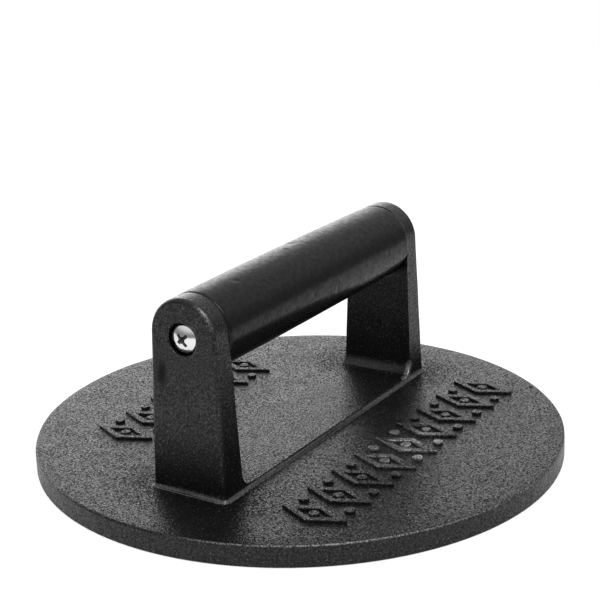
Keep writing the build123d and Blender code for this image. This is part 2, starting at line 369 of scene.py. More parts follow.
from_foot = add(tree, "ShaderNodeVectorMath", {"operation": "ABSOLUTE"}, in0=place).outputs[0]
from_foot = add(
    tree, "ShaderNodeVectorMath", {"operation": "SUBTRACT"}, in0=from_foot, in1=[v * MM for v in FOOT_MM],
).outputs[0]
from_foot = add(
    tree, "ShaderNodeVectorMath", {"operation": "DIVIDE"},
    in0=from_foot, in1=[v * MM for v in FOOT_SHADE_REACH_MM],
).outputs[0]
from_foot = add(tree, "ShaderNodeVectorMath", {"operation": "LENGTH"}, in0=from_foot).outputs["Value"]
# Painted shade: more dull hollows round both feet, where the uprights darken the plate.
painted_foot_shade = add(
    tree, "ShaderNodeMapRange", {"interpolation_type": "SMOOTHSTEP"}, Value=from_foot,
    From_Min=FOOT_SHADE_EDGE, From_Max=FOOT_SHADE_FULL, To_Max=FOOT_SHADE_FILL,
).outputs[0]
print("soot round the feet fills the noise by", FOOT_SHADE_FILL)

# %% Coated iron: dull hollows
HOLLOW_START, HOLLOW_FULL = 0.555, 0.41

gritty = add(tree, "ShaderNodeAttribute", {"attribute_name": "gritty"}).outputs["Fac"]
filled = add(tree, "ShaderNodeMath", {"operation": "SUBTRACT"}, in0=grit, in1=painted_foot_shade).outputs[0]
hollow = add(
    tree, "ShaderNodeMapRange", {"interpolation_type": "SMOOTHSTEP"}, Value=filled,
    From_Min=HOLLOW_START, From_Max=HOLLOW_FULL, To_Max=gritty,
).outputs[0]
dull = add(tree, "ShaderNodeMath", {"operation": "MAXIMUM"}, in0=hollow, in1=smear).outputs[0]
print("hollows where the noise is below", HOLLOW_START)

# %% [markdown]
# ## Sheen and small bumps of the iron
# The coating's roughness drifts slowly from place to place, as it does when it is sprayed and baked.
# Two layers of bumps break up each reflection: fine sand, and the coarser peel of the coating. Both
# flatten where the mesh says that the surface is smooth. Noise has most of its values between 0.3
# and 0.7, so that is the range that gets spread out, here and in the finishes below.

# %% Coated iron: sheen and colour
NOISE_LOW, NOISE_HIGH = 0.3, 0.7

sheen = add(
    tree, "ShaderNodeMapRange", Value=uneven,
    From_Min=NOISE_LOW, From_Max=NOISE_HIGH, To_Min=0.24, To_Max=0.30,
).outputs[0]
colour = add(
    tree, "ShaderNodeMix", {"data_type": "RGBA"},
    Factor=bare, in6=paint("#060606"), in7=paint("#b4b4b4"),
).outputs[2]
print("sheen and colour ready")

# %% Coated iron: bumps of sand and peel
SAND_PITCH_MM, SAND_HEIGHT_MM = 0.38, 0.10
PEEL_PITCH_MM, PEEL_HEIGHT_MM = 0.75, 0.16

sand = add(
    tree, "ShaderNodeTexNoise", {"noise_dimensions": "3D"},
    Vector=place, Scale=1.0 / (SAND_PITCH_MM * MM), Detail=1.0, Roughness=0.5,
).outputs[0]
sand = add(tree, "ShaderNodeMath", {"operation": "MULTIPLY"}, in0=sand, in1=gritty).outputs[0]
bumps = add(
    tree, "ShaderNodeBump", Strength=1.0, Distance=SAND_HEIGHT_MM * MM, Height=sand,
).outputs[0]
peel = add(
    tree, "ShaderNodeTexNoise", {"noise_dimensions": "3D"},
    Vector=place, Scale=1.0 / (PEEL_PITCH_MM * MM), Detail=2.0, Roughness=0.55,
).outputs[0]
peel = add(tree, "ShaderNodeMath", {"operation": "MULTIPLY"}, in0=peel, in1=gritty).outputs[0]
bumps = add(
    tree, "ShaderNodeBump", Strength=1.0, Distance=PEEL_HEIGHT_MM * MM, Height=peel, Normal=bumps,
).outputs[0]
print("sand", SAND_PITCH_MM, "mm and peel", PEEL_PITCH_MM, "mm apart")

# %% Coated iron: satin skin and matt soot
skin = add(
    tree, "ShaderNodeBsdfPrincipled", Base_Color=colour, Metallic=bare, Roughness=sheen,
    IOR=1.5, Normal=bumps,
)
soot = add(
    tree, "ShaderNodeBsdfPrincipled", Base_Color=paint("#050505"), Roughness=0.7, Specular_IOR_Level=0.1,
)
pitted = add(tree, "ShaderNodeMixShader", in0=dull, in1=skin.outputs[0], in2=soot.outputs[0])
add(tree, "ShaderNodeOutputMaterial", Surface=pitted.outputs[0])
print("coated iron:", len(tree.nodes), "nodes")

# %% [markdown]
# ## Finish of the grip
# The grip is moulded from black phenolic plastic, the kind that stands heat. A polished mould gives
# it a smoother skin than the iron's, so it mirrors in longer, cleaner bands. Hands have rubbed it:
# a slow noise makes some places duller, a finer one leaves the slightest ripple of the moulding,
# and a third mixes in matt scuffs that take some of its shine. Its right end is painted pale grey,
# a painted highlight for the light that its rounded edge catches at the gap, where it shows as a
# thin pale line.

# %% Moulded grip: skin
HANDLED_PITCH_MM = 6.0
MOULD_PITCH_MM, MOULD_HEIGHT_MM = 2.2, 0.05

moulded_black, tree = new_material("moulded_black_phenolic")
place = add(tree, "ShaderNodeTexCoord").outputs["Object"]
rubbed = add(
    tree, "ShaderNodeTexNoise", {"noise_dimensions": "3D"},
    Vector=place, Scale=1.0 / (HANDLED_PITCH_MM * MM), Detail=4.0, Roughness=0.6,
).outputs[0]
sheen = add(
    tree, "ShaderNodeMapRange", Value=rubbed,
    From_Min=NOISE_LOW, From_Max=NOISE_HIGH, To_Min=0.19, To_Max=0.27,
).outputs[0]
mould = add(
    tree, "ShaderNodeTexNoise", {"noise_dimensions": "3D"},
    Vector=place, Scale=1.0 / (MOULD_PITCH_MM * MM), Detail=3.0, Roughness=0.5,
).outputs[0]
mould_bump = add(
    tree, "ShaderNodeBump", Strength=1.0, Distance=MOULD_HEIGHT_MM * MM, Height=mould,
).outputs[0]
skin = add(
    tree, "ShaderNodeBsdfPrincipled", Base_Color=paint("#050505"), Roughness=sheen, IOR=1.42,
    Normal=mould_bump,
)
print("mould ripple", MOULD_PITCH_MM, "mm apart")

# %% Moulded grip: scuffs and the painted highlight at the right end
SCUFF_PITCH_MM = 1.5
SCUFF_START, SCUFF_FULL = 0.36, 0.64
SCUFF_LEAST, SCUFF_MOST = 0.30, 0.60
END_HIGHLIGHT_FROM_MM, END_HIGHLIGHT_FULL_MM, END_HIGHLIGHT_MOST = 54.8, 55.3, 0.6

matt_patch = add(
    tree, "ShaderNodeBsdfPrincipled",
    Base_Color=paint("#060606"), Roughness=0.6, Specular_IOR_Level=0.1,
)
scuffs = add(
    tree, "ShaderNodeTexNoise", {"noise_dimensions": "3D"},
    Vector=place, Scale=1.0 / (SCUFF_PITCH_MM * MM), Detail=3.0, Roughness=0.7,
).outputs[0]
scuffs = add(
    tree, "ShaderNodeMapRange", {"interpolation_type": "SMOOTHSTEP"}, Value=scuffs,
    From_Min=SCUFF_START, From_Max=SCUFF_FULL, To_Min=SCUFF_LEAST, To_Max=SCUFF_MOST,
).outputs[0]
scuffed = add(
    tree, "ShaderNodeMixShader", in0=scuffs, in1=skin.outputs[0], in2=matt_patch.outputs[0],
)
to_the_right = add(tree, "ShaderNodeSeparateXYZ", in0=place).outputs["X"]
# Painted highlight: the right end is painted pale grey where its edge catches light at the gap.
end_highlight_mask = add(
    tree, "ShaderNodeMapRange", {"interpolation_type": "SMOOTHSTEP"}, Value=to_the_right,
    From_Min=END_HIGHLIGHT_FROM_MM * MM, From_Max=END_HIGHLIGHT_FULL_MM * MM, To_Max=END_HIGHLIGHT_MOST,
).outputs[0]
end_highlight_paint = add(
    tree, "ShaderNodeBsdfPrincipled", Base_Color=paint("#6c6c6c"), Roughness=0.5, IOR=1.42,
)
with_end_highlight = add(
    tree, "ShaderNodeMixShader", in0=end_highlight_mask, in1=scuffed.outputs[0], in2=end_highlight_paint.outputs[0],
)
add(tree, "ShaderNodeOutputMaterial", Surface=with_end_highlight.outputs[0])
print("moulded grip:", len(tree.nodes), "nodes")

# %% [markdown]
# ## Nickel plated screws
# The screws are steel with bright nickel plating, polished in a tumbling barrel before they were
# plated, so the mirror is soft and has fine scratches in it. Grease and soot collect in the cross
# recess, and the recess is also painted dark and matt for the shade that falls in it, so its
# darkness is grime and painted shade together. The recess is found without any picture: its walls
# lie deeper than the round crown of the head, so their distance from the crown's centre of
# curvature is smaller.

# %% Nickel plate: where the recess lies
GRIP_AXIS_Z_MM = 58.2
CROWN_TOP_X_MM = 63.82
CROWN_RADIUS_MM = 8.0
GRIME_AND_SHADE_START_MM, GRIME_AND_SHADE_FULL_MM, GRIME_AND_SHADE_MOST = 0.05, 0.55, 0.92
RECESS_REACH_MM, RECESS_SURE_MM = 3.3, 2.9

nickel, tree = new_material("bright_nickel_plated_steel")
place = add(tree, "ShaderNodeTexCoord").outputs["Object"]
mirrored = add(tree, "ShaderNodeVectorMath", {"operation": "ABSOLUTE"}, in0=place).outputs[0]
from_centre = add(
    tree, "ShaderNodeVectorMath", {"operation": "SUBTRACT"}, in0=mirrored,
    in1=((CROWN_TOP_X_MM - CROWN_RADIUS_MM) * MM, 0.0, GRIP_AXIS_Z_MM * MM),
).outputs[0]
reach = add(tree, "ShaderNodeVectorMath", {"operation": "LENGTH"}, in0=from_centre).outputs["Value"]
below = add(
    tree, "ShaderNodeMapRange", {"interpolation_type": "SMOOTHSTEP"}, Value=reach,
    From_Min=(CROWN_RADIUS_MM - GRIME_AND_SHADE_START_MM) * MM, From_Max=(CROWN_RADIUS_MM - GRIME_AND_SHADE_FULL_MM) * MM,
    To_Max=GRIME_AND_SHADE_MOST,
).outputs[0]
across = add(
    tree, "ShaderNodeVectorMath", {"operation": "MULTIPLY"}, in0=from_centre, in1=(0.0, 1.0, 1.0),
).outputs[0]
across = add(tree, "ShaderNodeVectorMath", {"operation": "LENGTH"}, in0=across).outputs["Value"]
near_axis = add(
    tree, "ShaderNodeMapRange", {"interpolation_type": "SMOOTHSTEP"}, Value=across,
    From_Min=RECESS_REACH_MM * MM, From_Max=RECESS_SURE_MM * MM,
).outputs[0]
# Grime and painted shade: the recess below the crown, near the axis, turns dark and matt.
grime_and_shade = add(tree, "ShaderNodeMath", {"operation": "MULTIPLY"}, in0=below, in1=near_axis).outputs[0]
print("crown radius", CROWN_RADIUS_MM, "mm")

# %% Nickel plate: scratches, grime with painted shade, and shader
SCRATCH_PITCH_MM, SCRATCH_DEPTH_MM = 0.5, 0.008

scratches = add(
    tree, "ShaderNodeTexNoise", {"noise_dimensions": "3D"},
    Vector=place, Scale=1.0 / (SCRATCH_PITCH_MM * MM), Detail=3.0, Roughness=0.7,
).outputs[0]
polish = add(
    tree, "ShaderNodeMapRange", Value=scratches,
    From_Min=NOISE_LOW, From_Max=NOISE_HIGH, To_Min=0.09, To_Max=0.17,
).outputs[0]
rough = add(
    tree, "ShaderNodeMix", {"data_type": "FLOAT"}, Factor=grime_and_shade, in2=polish, in3=0.6,
).outputs[0]
colour = add(
    tree, "ShaderNodeMix", {"data_type": "RGBA"},
    Factor=grime_and_shade, in6=paint("#e6e6e6"), in7=paint("#181818"),
).outputs[2]
fine = add(
    tree, "ShaderNodeBump", Strength=1.0, Distance=SCRATCH_DEPTH_MM * MM, Height=scratches,
).outputs[0]
plated = add(tree, "ShaderNodeMath", {"operation": "SUBTRACT"}, in0=1.0, in1=grime_and_shade).outputs[0]
skin = add(
    tree, "ShaderNodeBsdfPrincipled", Base_Color=colour, Metallic=plated, Roughness=rough, Normal=fine,
)
add(tree, "ShaderNodeOutputMaterial", Surface=skin.outputs[0])
print("nickel:", len(tree.nodes), "nodes")

# %% [markdown]
# ## Drawn steel rod
# The rod inside the grip is plain steel bar, drawn through a die. That leaves faint lines along its
# length, so the noise is squeezed across the rod and stretched along it. A rod's ends are sawn and
# faced, and only they show when the press is taken apart.

# %% Drawn steel
DRAWN_LINE_MM, DRAWN_DEPTH_MM = 0.35, 0.02
STRETCH_ALONG = 0.02

drawn_steel, tree = new_material("drawn_steel_bar")
place = add(tree, "ShaderNodeTexCoord").outputs["Object"]
along = add(tree, "ShaderNodeMapping", Vector=place, Scale=(STRETCH_ALONG, 1.0, 1.0)).outputs[0]
lines = add(
    tree, "ShaderNodeTexNoise", {"noise_dimensions": "3D"},
    Vector=along, Scale=1.0 / (DRAWN_LINE_MM * MM), Detail=3.0, Roughness=0.6,
).outputs[0]
rough = add(
    tree, "ShaderNodeMapRange", Value=lines,
    From_Min=NOISE_LOW, From_Max=NOISE_HIGH, To_Min=0.26, To_Max=0.44,
).outputs[0]
colour = add(
    tree, "ShaderNodeMix", {"data_type": "RGBA"},
    Factor=lines, in6=paint("#8f8d89"), in7=paint("#bcbab6"),
).outputs[2]
drawn = add(tree, "ShaderNodeBump", Strength=1.0, Distance=DRAWN_DEPTH_MM * MM, Height=lines).outputs[0]
skin = add(
    tree, "ShaderNodeBsdfPrincipled", Base_Color=colour, Metallic=1.0, Roughness=rough, Normal=drawn,
)
add(tree, "ShaderNodeOutputMaterial", Surface=skin.outputs[0])
print("drawn steel:", len(tree.nodes), "nodes")

# %% [markdown]
# ## Bushes
# The two bushes that the grip turns on are moulded from natural acetal, a slippery, bone-white
# plastic. Their mould was cut on a lathe, and its fine rings round the axis are printed on them. The
# distance from the axis makes such rings on the end faces, and the distance along it makes them on
# the bore, so the pattern uses both.

# %% Acetal bushes: rings of the mould
RING_PITCH_MM, RING_HEIGHT_MM = 0.25, 0.006

bush_plastic, tree = new_material("moulded_natural_acetal")
place = add(tree, "ShaderNodeTexCoord").outputs["Object"]
axis_spot = add(
    tree, "ShaderNodeVectorMath", {"operation": "SUBTRACT"},
    in0=place, in1=(0.0, 0.0, GRIP_AXIS_Z_MM * MM),
).outputs[0]
along = add(tree, "ShaderNodeSeparateXYZ", in0=axis_spot).outputs["X"]
out_of_axis = add(
    tree, "ShaderNodeVectorMath", {"operation": "MULTIPLY"}, in0=axis_spot, in1=(0.0, 1.0, 1.0),
).outputs[0]
out_of_axis = add(
    tree, "ShaderNodeVectorMath", {"operation": "LENGTH"}, in0=out_of_axis,
).outputs["Value"]
feed = add(tree, "ShaderNodeMath", {"operation": "ADD"}, in0=out_of_axis, in1=along).outputs[0]
turns = add(
    tree, "ShaderNodeMath", {"operation": "MULTIPLY"}, in0=feed, in1=math.tau / (RING_PITCH_MM * MM),
).outputs[0]
rings = add(tree, "ShaderNodeMath", {"operation": "SINE"}, in0=turns).outputs[0]
print("rings", RING_PITCH_MM, "mm apart")

# %% Acetal bushes: shader
rough = add(
    tree, "ShaderNodeMapRange", Value=rings, From_Min=-1.0, From_Max=1.0, To_Min=0.36, To_Max=0.50,
).outputs[0]
ringed = add(tree, "ShaderNodeBump", Strength=1.0, Distance=RING_HEIGHT_MM * MM, Height=rings).outputs[0]
skin = add(
    tree, "ShaderNodeBsdfPrincipled",
    Base_Color=paint("#c3c0b7"), Roughness=rough, IOR=1.48, Normal=ringed,
)
add(tree, "ShaderNodeOutputMaterial", Surface=skin.outputs[0])
print("bushes:", len(tree.nodes), "nodes")

# %% Paint the pieces whose CAD meshes stay
for name, material in (
    ("left_screw", nickel), ("right_screw", nickel), ("core_rod", drawn_steel),
    ("left_bush", bush_plastic), ("right_bush", bush_plastic),
):
    nodes[name].data.materials[0] = material
    print(name, "is", material.name)

# %% [markdown]
# ## A soft skin for cast and moulded things
# A CAD solid is dead flat, but a casting never is: the sand gives way a little, and a moulding sinks
# as it cools. One Geometry Nodes tree makes that unevenness for both. It pushes every point along
# its own normal by a slow noise and a finer one, and an attribute says how much of the push a point
# takes, so that bores and the ground underside stay true.

# %% Geometry Nodes: soft skin
def make_soft_skin():
    """The tree that pushes a surface in and out by noise. Sizes are in metres."""
    skin_tree = bpy.data.node_groups.new("soft_skin", "GeometryNodeTree")
    face = skin_tree.interface
    face.new_socket(name="Geometry", in_out="INPUT", socket_type="NodeSocketGeometry")
    for name in ("Wave Height", "Wave Length", "Ripple Height", "Ripple Length", "Seed"):
        face.new_socket(name=name, in_out="INPUT", socket_type="NodeSocketFloat")
    face.new_socket(name="Finish", in_out="INPUT", socket_type="NodeSocketMaterial")
    face.new_socket(name="Geometry", in_out="OUTPUT", socket_type="NodeSocketGeometry")
    given = add(skin_tree, "NodeGroupInput").outputs
    spot = add(skin_tree, "GeometryNodeInputPosition").outputs[0]
    outward = add(skin_tree, "GeometryNodeInputNormal").outputs[0]
    share = add(
        skin_tree, "GeometryNodeInputNamedAttribute", {"data_type": "FLOAT"}, Name="skin",
    ).outputs[0]
    push = None
    for tall, long in (("Wave Height", "Wave Length"), ("Ripple Height", "Ripple Length")):
        often = add(
            skin_tree, "ShaderNodeMath", {"operation": "DIVIDE"}, in0=1.0, in1=given[long],
        ).outputs[0]
        wave = add(
            skin_tree, "ShaderNodeTexNoise", {"noise_dimensions": "4D"},
            Vector=spot, W=given["Seed"], Scale=often, Detail=1.0, Roughness=0.5,
        ).outputs[0]
        wave = add(skin_tree, "ShaderNodeMath", {"operation": "SUBTRACT"}, in0=wave, in1=0.5).outputs[0]
        wave = add(
            skin_tree, "ShaderNodeMath", {"operation": "MULTIPLY"}, in0=wave, in1=given[tall],
        ).outputs[0]
        if push is not None:
            wave = add(skin_tree, "ShaderNodeMath", {"operation": "ADD"}, in0=push, in1=wave).outputs[0]
        push = wave
    push = add(skin_tree, "ShaderNodeMath", {"operation": "MULTIPLY"}, in0=push, in1=share).outputs[0]
    move = add(skin_tree, "ShaderNodeVectorMath", {"operation": "SCALE"}, in0=outward, Scale=push)
    pushed = add(skin_tree, "GeometryNodeSetPosition", Geometry=given["Geometry"], Offset=move.outputs[0])
    real = add(skin_tree, "GeometryNodeRealizeInstances", Geometry=pushed.outputs[0])
    painted = add(
        skin_tree, "GeometryNodeSetMaterial", Geometry=real.outputs[0], Material=given["Finish"],
    )
    add(skin_tree, "NodeGroupOutput", Geometry=painted.outputs[0])
    return skin_tree


soft_skin = make_soft_skin()
print("soft skin:", len(soft_skin.nodes), "nodes")


# %% Put the skin on a mesh, and make it plain again
SHARP_EDGE = math.radians(38)


def skinned(name, mesh, sizes):
    """A piece made of the mesh with the soft skin applied. Sizes are the tree's inputs, by name."""
    raw = bpy.data.objects.new(name + "_raw", mesh)
    bpy.context.scene.collection.objects.link(raw)
    modifier = raw.modifiers.new("soft_skin", "NODES")
    modifier.node_group = soft_skin
    for item in soft_skin.interface.items_tree:
        if item.in_out == "INPUT" and item.name in sizes:
            modifier[item.identifier] = sizes[item.name]
    pushed = raw.evaluated_get(bpy.context.evaluated_depsgraph_get())
    made = bpy.data.meshes.new_from_object(pushed)
    bpy.data.objects.remove(raw)
    made.name = name
    made.shade_smooth()
    made.set_sharp_from_angle(angle=SHARP_EDGE)
    piece = bpy.data.objects.new(name, made)
    bpy.context.scene.collection.objects.link(piece)
    flatter = piece.modifiers.new("flat_stays_flat", "WEIGHTED_NORMAL")
    flatter.mode = "FACE_AREA_WITH_ANGLE"
    flatter.keep_sharp = True
    print(name, len(made.vertices), "points", len(made.polygons), "faces")
    return piece


print("edges over", round(math.degrees(SHARP_EDGE)), "degrees stay sharp")

# %% [markdown]
# ## An even mesh of the casting
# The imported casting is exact, but its flat faces are a few huge triangles, and those can't be pushed
# into waves. So a copy is made that keeps every edge and curve where it is. Long edges are cut to
# even lengths, and each flat area is filled again with evenly spaced points. Delaunay's rule joins
# them, because it makes the least stretched triangles that fit an outline.

# %% Find the flat areas
SAME_PLANE = math.cos(math.radians(0.2))


def flat_areas(shape):
    """Groups of neighbouring faces that lie in one plane, the largest face's group first."""
    shape.faces.index_update()
    taken = [False] * len(shape.faces)
    areas = []
    for seed in sorted(shape.faces, key=lambda face: -face.calc_area()):
        if taken[seed.index]:
            continue
        taken[seed.index] = True
        area, waiting = [seed], [seed]
        while waiting:
            for edge in waiting.pop().edges:
                for face in edge.link_faces:
                    if not taken[face.index] and face.normal.dot(seed.normal) > SAME_PLANE:
                        taken[face.index] = True
                        area.append(face)
                        waiting.append(face)
        areas.append(area)
    return areas


print("faces within 0.2 degrees count as one flat area")

# %% Tell which points lie inside an outline
POINTS_AT_ONCE = 400


def inside(points, starts, ends):
    """Which points lie inside the outline whose sides run from starts to ends."""
    found = np.zeros(len(points), bool)
    rise = ends[:, 1] - starts[:, 1]
    lean = (ends[:, 0] - starts[:, 0]) / np.where(rise == 0, 1.0, rise)
    for first in range(0, len(points), POINTS_AT_ONCE):
        some = slice(first, first + POINTS_AT_ONCE)
        x, y = points[some, 0:1], points[some, 1:2]
        passes = (starts[:, 1] > y) != (ends[:, 1] > y)
        crossing = starts[:, 0] + (y - starts[:, 1]) * lean
        found[some] = np.sum(passes & (x < crossing), axis=1) % 2 == 1
    return found


print("a point is inside where a line from it crosses the outline an odd number of times")

# %% Spread points evenly inside an outline
CLEAR_OF_OUTLINE = 0.6
CLOSE_UP_RADIUS_MM = 1.6
CLOSE_UP_RINGS = 4


def even_points(outline, starts, ends, pitch, close_ups):
    """Points in staggered rows inside an outline, clear of it, with rings round each close-up."""
    low, high = outline.min(0), outline.max(0)
    if min(high - low) < 2 * pitch:
        return []
    rows = np.arange(low[1] + pitch / 2, high[1], pitch * math.sqrt(3) / 2)
    columns = np.arange(low[0] + pitch / 2, high[0], pitch)
    grid = np.array([(x + pitch / 2 * (i % 2), y) for i, y in enumerate(rows) for x in columns])
    grid = grid[inside(grid, starts, ends)]
    border = kdtree.KDTree(len(outline))
    for i, (x, y) in enumerate(outline):
        border.insert((x, y, 0), i)
    border.balance()
    kept = [Vector(p) for p in grid if border.find((p[0], p[1], 0))[2] > CLEAR_OF_OUTLINE * pitch]
    for centre in close_ups:
        kept = [p for p in kept if (p - centre).length > CLOSE_UP_RADIUS_MM + pitch / 2]
        kept.append(centre)
        for ring in range(1, CLOSE_UP_RINGS + 1):
            reach = CLOSE_UP_RADIUS_MM * ring / CLOSE_UP_RINGS
            for step in range(6 * ring):
                angle = step * math.tau / (6 * ring)
                kept.append(centre + Vector((math.cos(angle), math.sin(angle))) * reach)
    return kept


print("close-ups have", CLOSE_UP_RINGS, "rings of points")

# %% Fill a flat area with even triangles
FACES_DOWN = -0.99
SAME_LEVEL_MM = 0.05
SAME_SPOT_MM = 1e-7


def even_area(area, places, pitch, close_ups):
    """The triangles that fill one flat area, by place number. Its new points are added to places."""
    if len(area) == 1 and len(area[0].verts) == 3:
        return [[vert.index for vert in area[0].verts]]
    members = set(area)
    border = [
        edge for face in area for edge in face.edges
        if len(members.intersection(edge.link_faces)) == 1
    ]
    turned = area[0].normal.to_track_quat("Z", "Y").to_matrix()
    corners = sorted({vert.index for edge in border for vert in edge.verts})
    order = {index: i for i, index in enumerate(corners)}
    flat = [turned.transposed() @ places[index] for index in corners]
    level = sum(p.z for p in flat) / len(flat)
    sides = [(order[edge.verts[0].index], order[edge.verts[1].index]) for edge in border]
    outline = np.array([(p.x, p.y) for p in flat])
    starts, ends = outline[[a for a, b in sides]], outline[[b for a, b in sides]]
    extra = []
    if area[0].normal.z >= FACES_DOWN:
        near = [turned.transposed() @ spot for spot in close_ups]
        near = [p.xy for p in near if abs(p.z - level) < SAME_LEVEL_MM]
        extra = even_points(outline, starts, ends, pitch, near)
    for p in extra:
        corners.append(len(places))
        places.append(turned @ Vector((p.x, p.y, level)))
    spots = [p.xy for p in flat] + extra
    points, _, faces, origin, _, _ = geometry.delaunay_2d_cdt(spots, sides, [], 0, SAME_SPOT_MM)
    centres = np.array([[sum(points[i][axis] for i in face) / 3 for axis in (0, 1)] for face in faces])
    return [
        [corners[origin[i][0]] for i in face]
        for face, kept in zip(faces, inside(centres, starts, ends)) if kept
    ]


print("the underside stays in a few large triangles")

# %% Make the even copy of a CAD mesh
MERGED_MM = 0.002
GAP_SIDES = 6


def cut_long_edges(shape, pitch):
    """Cuts the edges between two planes to a pitch."""
    cuts = {}
    for edge in shape.edges:
        one, other = edge.link_faces[0], edge.link_faces[-1]
        count = math.ceil(edge.calc_length() / pitch) - 1
        if count > 0 and one.normal.dot(other.normal) < SAME_PLANE:
            cuts.setdefault(count, []).append(edge)
    for count, edges in cuts.items():
        bmesh.ops.bisect_edges(shape, edges=edges, cuts=count)


def even_mesh(node, pitch, close_ups):
    """A copy of a node's mesh with edges and flat areas cut to a pitch, in millimetres."""
    shape = bmesh.new()
    shape.from_mesh(node.data)
    bmesh.ops.transform(shape, matrix=Matrix.Scale(1 / MM, 4), verts=shape.verts)
    bmesh.ops.remove_doubles(shape, verts=shape.verts, dist=MERGED_MM)
    bmesh.ops.dissolve_degenerate(shape, dist=MERGED_MM, edges=shape.edges)
    shape.normal_update()
    cut_long_edges(shape, pitch)
    shape.normal_update()
    shape.verts.index_update()
    places = [vert.co.copy() for vert in shape.verts]
    triangles = []
    for area in flat_areas(shape):
        triangles += even_area(area, places, pitch, close_ups)
    shape.free()
    mesh = bpy.data.meshes.new(node.name + "_even")
    mesh.from_pydata([p * MM for p in places], [], triangles)
    shape = bmesh.new()
    shape.from_mesh(mesh)
    gaps = [edge for edge in shape.edges if len(edge.link_faces) == 1]
    bmesh.ops.holes_fill(shape, edges=gaps, sides=GAP_SIDES)
    stray = [vert for vert in shape.verts if not vert.link_faces]
    bmesh.ops.delete(shape, geom=stray, context="VERTS")
    still_open = sum(len(edge.link_faces) != 2 for edge in shape.edges)
    print("even mesh:", len(shape.faces), "faces, open edges", still_open)
    shape.to_mesh(mesh)
    shape.free()
    return mesh


# %% [markdown]
# ## Marks left by use
# The photograph shows a few small pits in the plate near its right edge, dents and nicks in the grip,
# and a sliver of casting flash on the near upright. They are pushed into the mesh point by point: a
# mark has a centre, a reach and a depth, and its push fades smoothly with distance.

# %% Marks
def push_marks(mesh, marks):
    """Moves points of a mesh. A mark is (centre, reach, direction, depth), all in millimetres."""
    for centre, reach, way, depth in marks:
        centre, reach, way = np.array(centre), np.array(reach), np.array(way)
        for vert in mesh.vertices:
            off = (np.array(vert.co) / MM - centre) / reach
            if abs(off[0]) < 1 and abs(off[1]) < 1 and abs(off[2]) < 1:
                fade = max(0.0, 1.0 - float(off @ off)) ** 2
                vert.co += Vector(way * depth * fade * MM)


def give_skin(mesh, share_at):
    """Writes how much of the soft skin's push each point takes."""
    layer = mesh.attributes.new("skin", "FLOAT", "POINT")
    layer.data.foreach_set("value", [share_at(vert.co / MM) for vert in mesh.vertices])


print("marks and skin helpers ready")

# %% [markdown]
# ## Worn edges, and pooled corners with a painted highlight
# Knocks and scouring take the coating off outside edges, and the photograph shows it on the front
# of the rim, on the raised ornament and at a few corners. In the inside corners the wet coating
# pooled instead: it filled the grit there and dried smooth. The band there is also given some of the
# bare metal's colour and shine, a painted highlight for the light that the corners catch. The mesh
# knows both kinds of place. Where it bends away sharply from a point, the point is on an edge, and
# where it bends up, the point is in a corner. So each point is given two numbers that the finish
# reads: its wear, with the painted highlight of the corners added in, and how gritty it is.

# %% How sharply the surface bends at each point
SHARP_FROM, SHARP_FULL = 0.5, 1.2
POOL_FROM, POOL_FULL = 0.4, 0.7
POOL_SMOOTH = 0.7


def ramp(value, start, full):
    """0 at start, 1 at full, straight between."""
    return min(max((value - start) / (full - start), 0.0), 1.0)


def give_wear(mesh, rub_at, grit_at, highlight_at):
    """Writes each point's wear with the corners' painted highlight, and its grit. Bends are one over a
    radius, in 1/mm.
    """
    shape = bmesh.new()
    shape.from_mesh(mesh)
    shape.normal_update()
    wear_and_highlight, gritty = [], []
    for vert in shape.verts:
        steps = [vert.co - edge.other_vert(vert).co for edge in vert.link_edges]
        bends = [2 * step.dot(vert.normal) / step.length_squared * MM for step in steps]
        place = vert.co / MM
        rub = rub_at(place, vert.normal, ramp(max(bends), SHARP_FROM, SHARP_FULL))
        shine = highlight_at(place)
        # Pooled corners get a painted highlight: some bare-metal shine for the light that they catch.
        pooled = ramp(-min(bends), POOL_FROM, POOL_FULL) if shine else 0.0
        wear_and_highlight.append(max(rub, shine * pooled))
        gritty.append(grit_at(place, vert.normal) * (1 - POOL_SMOOTH * pooled) * (1 - rub))
    shape.free()
    for name, values in (("wear_and_highlight", wear_and_highlight), ("gritty", gritty)):
        layer = mesh.attributes.new(name, "FLOAT", "POINT")
        layer.data.foreach_set("value", values)
    print("worn points:", sum(w > 0.2 for w in wear_and_highlight), "smooth points:", sum(g < 0.1 for g in gritty))


print("an edge counts as sharp from a radius of", 1 / SHARP_FROM, "mm")

# %% [markdown]
# ## The casting
# Plate, strip and uprights are one piece of iron. The even copy keeps the CAD's sizes and takes the
# pits and the flash. A casting is also softer in its corners and at its rim than a drawing says: the
# root of the strip and of the feet has filled towards a slope, and the plate's top sinks a little
# towards its edge, which darkens it just inside the rim.

# %% Casting: even mesh, pits and flash
PLATE_TOP_MM = 7.4
PLATE_RADIUS_MM = 90.0
CASTING_PITCH_MM = 1.8
PITS = [(67.3, -56.1, PLATE_TOP_MM), (-24.3, -82.3, PLATE_TOP_MM), (-11.7, -75.9, PLATE_TOP_MM)]
FLASH = ((-55.6, -13.0, 46.0), (1.6, 1.6, 2.6), (0.6, -0.8, 0), 0.35)

casting_mesh = even_mesh(nodes["press_casting"], CASTING_PITCH_MM, [Vector(pit) for pit in PITS])
push_marks(casting_mesh, [
    (PITS[0], (1.0, 1.0, 1.0), (0, 0, -1), 0.6),
    (PITS[1], (1.5, 0.8, 1.0), (0, 0, -1), 0.35),
    (PITS[2], (0.9, 0.9, 1.0), (0, 0, -1), 0.25),
    FLASH,
])
print(len(PITS), "pits and one sliver of flash")

